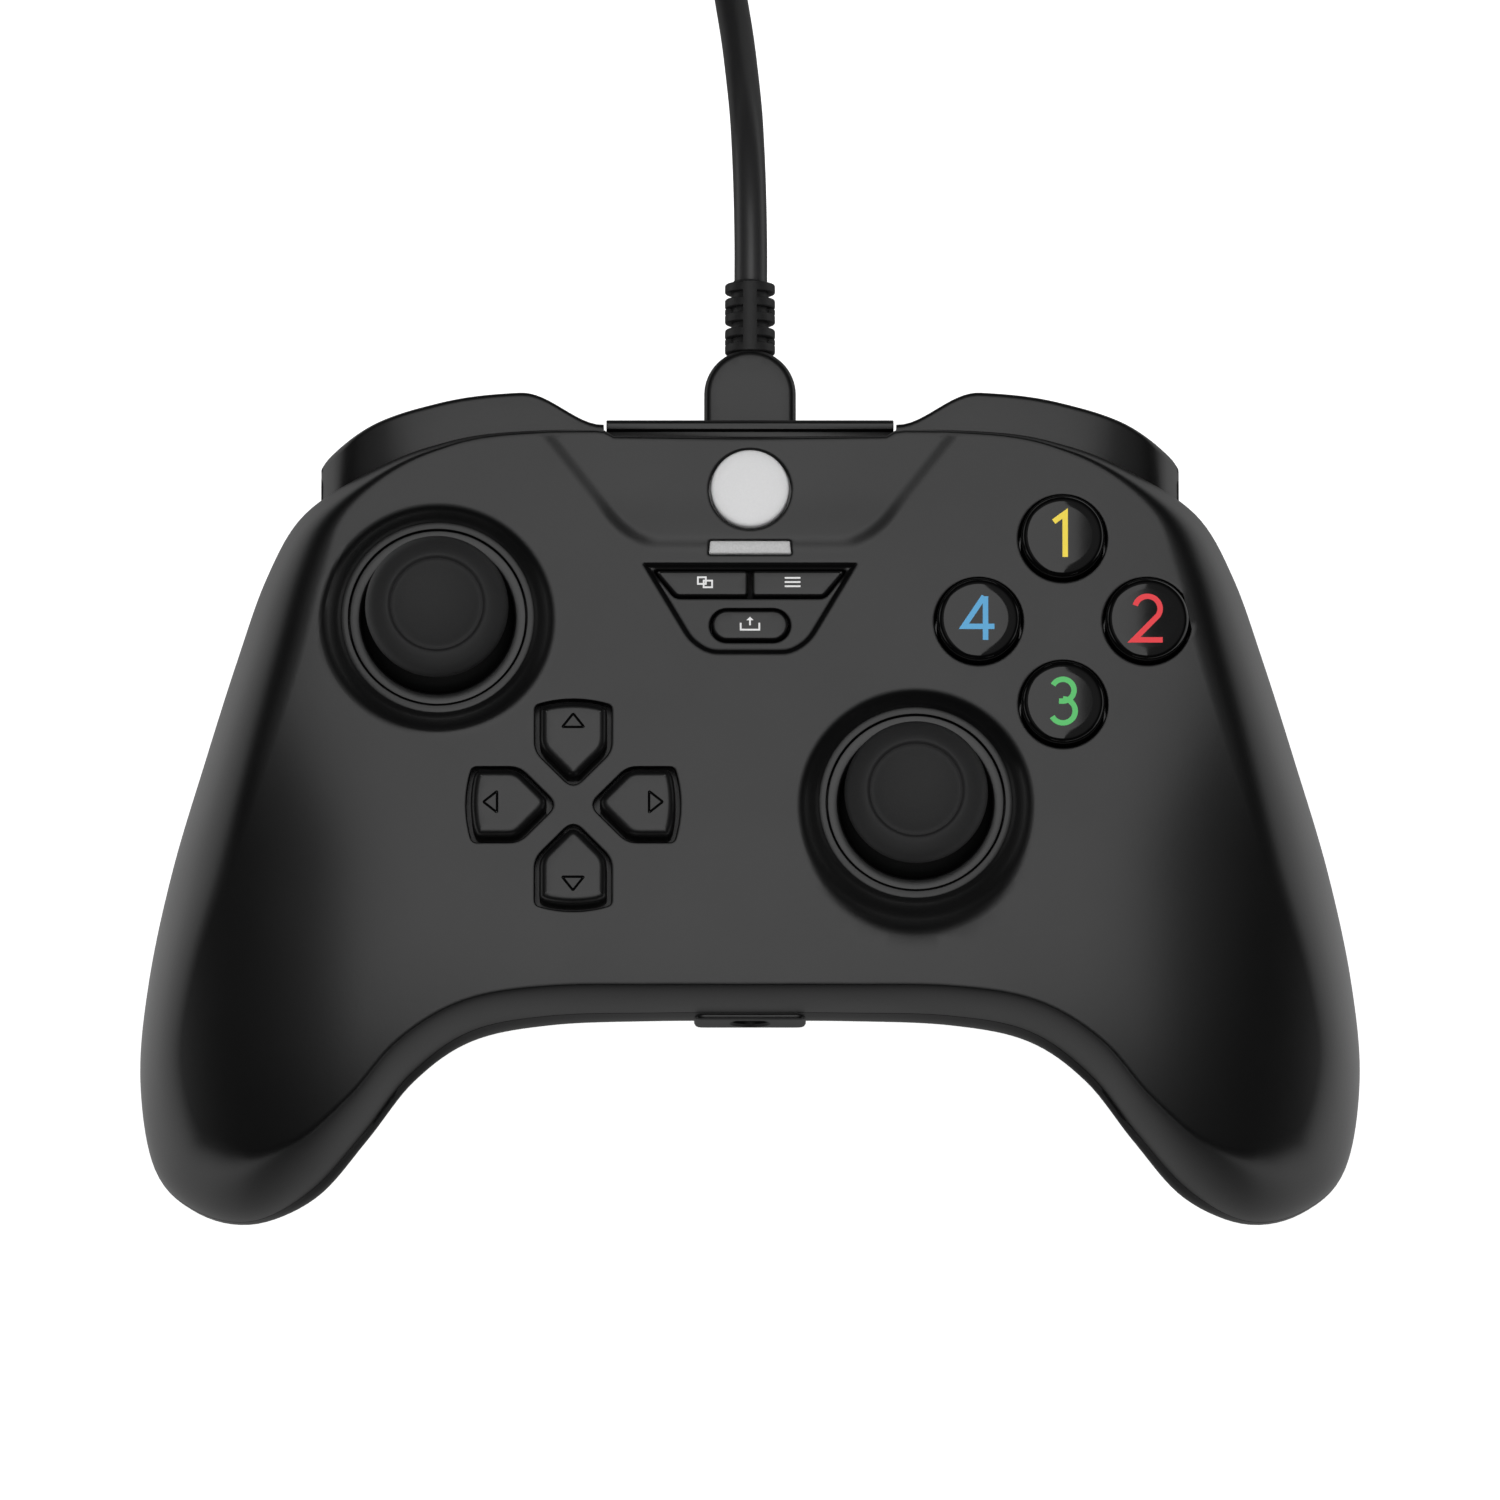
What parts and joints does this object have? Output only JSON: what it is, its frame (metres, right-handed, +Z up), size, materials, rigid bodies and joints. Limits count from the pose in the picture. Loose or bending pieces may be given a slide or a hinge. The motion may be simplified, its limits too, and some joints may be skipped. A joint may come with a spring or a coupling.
{
  "type": "gamepad controller",
  "caption": "Wired gamepad with two tilting click sticks, a rocking direction pad, sprung face buttons, bumpers, triggers, rumble weights and a coiled USB cord.",
  "frame": {"origin": "middle of the footprint, on the table that the pad rests on", "axes": "+X to the player's right along the width, +Y away from the player to the cable side, +Z up out of the face"},
  "size_m": [0.1598, 0.2451, 0.0554],
  "materials": {
    "shell": "fine matt grain",
    "gloss": "polished",
    "socket_black": "satin",
    "rubber": "soft matt",
    "cord": "satin",
    "pale": "satin",
    "inner_white": "moulded",
    "inner_grey": "moulded",
    "steel": "plain",
    "board": "solder mask",
    "silicone": "moulded"
  },
  "bodies": {
    "housing": {"front_shell": "shell", "rear_shell": "shell", "bridge": "shell", "left_stick_ring": "rubber", "right_stick_ring": "rubber", "light_bar": "pale", "main_board": "board", "mid_frame": "inner_grey", "face_button_mat": "silicone", "dpad_mat": "silicone", "dpad_post": "inner_grey", "menu_mat": "silicone", "left_stick_base": "inner_grey", "right_stick_base": "inner_grey", "left_stick_sensors": "steel", "right_stick_sensors": "steel", "headset_jack": "socket_black", "cable_socket": "steel", "bumper_switches": "socket_black", "housing_screws": "steel", "board_screws": "steel", "left_motor": "steel", "right_motor": "steel", "trigger_pins": "steel", "bumper_pins": "steel", "left_trigger_spring": "steel", "right_trigger_spring": "steel", "cable_plug": "shell", "plug_tongue": "steel", "strain_relief": "cord", "cord_run": "cord", "cord_coil": "cord", "coil_tie": "cord", "usb_plug_grip": "cord", "usb_plug_shell": "steel"},
    "left_bail": {"left_bail": "inner_white"},
    "left_hub": {"left_hub": "inner_grey"},
    "left_stick": {"left_shaft": "inner_white", "left_stick_cap": "rubber"},
    "right_bail": {"right_bail": "inner_white"},
    "right_hub": {"right_hub": "inner_grey"},
    "right_stick": {"right_shaft": "inner_white", "right_stick_cap": "rubber"},
    "dpad_ball": {"dpad_ball": "steel"},
    "dpad": {"dpad": "shell"},
    "button_top": {"button_top": "gloss"},
    "button_right": {"button_right": "gloss"},
    "button_bottom": {"button_bottom": "gloss"},
    "button_left": {"button_left": "gloss"},
    "home_button": {"home_button": "pale"},
    "view_button": {"view_button": "shell"},
    "menu_button": {"menu_button": "shell"},
    "share_button": {"share_button": "shell"},
    "left_bumper": {"left_bumper": "shell"},
    "left_trigger": {"left_trigger": "shell"},
    "left_weight": {"left_motor_weight": "steel"},
    "right_bumper": {"right_bumper": "shell"},
    "right_trigger": {"right_trigger": "shell"},
    "right_weight": {"right_motor_weight": "steel"}
  },
  "joints": [
    {"name": "left_stick_pitch", "type": "hinge", "parent": "housing", "child": "left_bail", "pos_m": [-0.0389, 0.0204, 0.034], "axis": [1, 0, 0], "range_deg": [-18, 18], "stiffness_Nm_per_rad": 0.06},
    {"name": "left_stick_roll", "type": "hinge", "parent": "left_bail", "child": "left_hub", "pos_m": [-0.0389, 0.0204, 0.034], "axis": [0, 1, 0], "range_deg": [-18, 18], "stiffness_Nm_per_rad": 0.06},
    {"name": "left_stick_click", "type": "slide", "parent": "left_hub", "child": "left_stick", "axis": [0, 0, -1], "range_m": [0, 0.0005], "stiffness_N_per_m": 4000},
    {"name": "right_stick_pitch", "type": "hinge", "parent": "housing", "child": "right_bail", "pos_m": [0.0206, -0.003, 0.034], "axis": [1, 0, 0], "range_deg": [-18, 18], "stiffness_Nm_per_rad": 0.06},
    {"name": "right_stick_roll", "type": "hinge", "parent": "right_bail", "child": "right_hub", "pos_m": [0.0206, -0.003, 0.034], "axis": [0, 1, 0], "range_deg": [-18, 18], "stiffness_Nm_per_rad": 0.06},
    {"name": "right_stick_click", "type": "slide", "parent": "right_hub", "child": "right_stick", "axis": [0, 0, -1], "range_m": [0, 0.0005], "stiffness_N_per_m": 4000},
    {"name": "dpad_pitch", "type": "hinge", "parent": "housing", "child": "dpad_ball", "pos_m": [-0.022, -0.003, 0.039], "axis": [1, 0, 0], "range_deg": [-3.6, 3.6], "stiffness_Nm_per_rad": 0.2, "deforming": ["dpad_mat"]},
    {"name": "dpad_roll", "type": "hinge", "parent": "dpad_ball", "child": "dpad", "pos_m": [-0.022, -0.003, 0.039], "axis": [0, 1, 0], "range_deg": [-3.6, 3.6], "stiffness_Nm_per_rad": 0.2, "deforming": ["dpad_mat"]},
    {"name": "button_top_press", "type": "slide", "parent": "housing", "child": "button_top", "axis": [0, 0, -1], "range_m": [0, 0.0015], "stiffness_N_per_m": 500, "deforming": ["face_button_mat"]},
    {"name": "button_right_press", "type": "slide", "parent": "housing", "child": "button_right", "axis": [0, 0, -1], "range_m": [0, 0.0015], "stiffness_N_per_m": 500, "deforming": ["face_button_mat"]},
    {"name": "button_bottom_press", "type": "slide", "parent": "housing", "child": "button_bottom", "axis": [0, 0, -1], "range_m": [0, 0.0015], "stiffness_N_per_m": 500, "deforming": ["face_button_mat"]},
    {"name": "button_left_press", "type": "slide", "parent": "housing", "child": "button_left", "axis": [0, 0, -1], "range_m": [0, 0.0015], "stiffness_N_per_m": 500, "deforming": ["face_button_mat"]},
    {"name": "home_press", "type": "slide", "parent": "housing", "child": "home_button", "axis": [0, 0, -1], "range_m": [0, 0.0006], "stiffness_N_per_m": 800, "deforming": ["menu_mat"]},
    {"name": "view_press", "type": "slide", "parent": "housing", "child": "view_button", "axis": [0, 0, -1], "range_m": [0, 0.0005], "stiffness_N_per_m": 800, "deforming": ["menu_mat"]},
    {"name": "menu_press", "type": "slide", "parent": "housing", "child": "menu_button", "axis": [0, 0, -1], "range_m": [0, 0.0005], "stiffness_N_per_m": 800, "deforming": ["menu_mat"]},
    {"name": "share_press", "type": "slide", "parent": "housing", "child": "share_button", "axis": [0, 0, -1], "range_m": [0, 0.0005], "stiffness_N_per_m": 800, "deforming": ["menu_mat"]},
    {"name": "left_bumper_press", "type": "hinge", "parent": "housing", "child": "left_bumper", "pos_m": [-0.0206, 0.0404, 0.035], "axis": [0, 0, 1], "range_deg": [0, 1.6], "stiffness_Nm_per_rad": 2.5},
    {"name": "left_trigger_pull", "type": "hinge", "parent": "housing", "child": "left_trigger", "pos_m": [-0.0365, 0.0375, 0.0282], "axis": [-1, 0, 0], "range_deg": [0, 16], "stiffness_Nm_per_rad": 0.12, "springref_deg": -6.88, "deforming": ["left_trigger_spring"]},
    {"name": "left_weight_spin", "type": "hinge", "parent": "housing", "child": "left_weight", "pos_m": [-0.0605, -0.029, 0.018], "axis": [0, 1, 0], "continuous": true},
    {"name": "right_bumper_press", "type": "hinge", "parent": "housing", "child": "right_bumper", "pos_m": [0.0206, 0.0404, 0.035], "axis": [0, 0, -1], "range_deg": [0, 1.6], "stiffness_Nm_per_rad": 2.5},
    {"name": "right_trigger_pull", "type": "hinge", "parent": "housing", "child": "right_trigger", "pos_m": [0.0365, 0.0375, 0.0282], "axis": [-1, 0, 0], "range_deg": [0, 16], "stiffness_Nm_per_rad": 0.12, "springref_deg": -6.88, "deforming": ["right_trigger_spring"]},
    {"name": "right_weight_spin", "type": "hinge", "parent": "housing", "child": "right_weight", "pos_m": [0.0605, -0.029, 0.018], "axis": [0, 1, 0], "continuous": true}
  ]
}
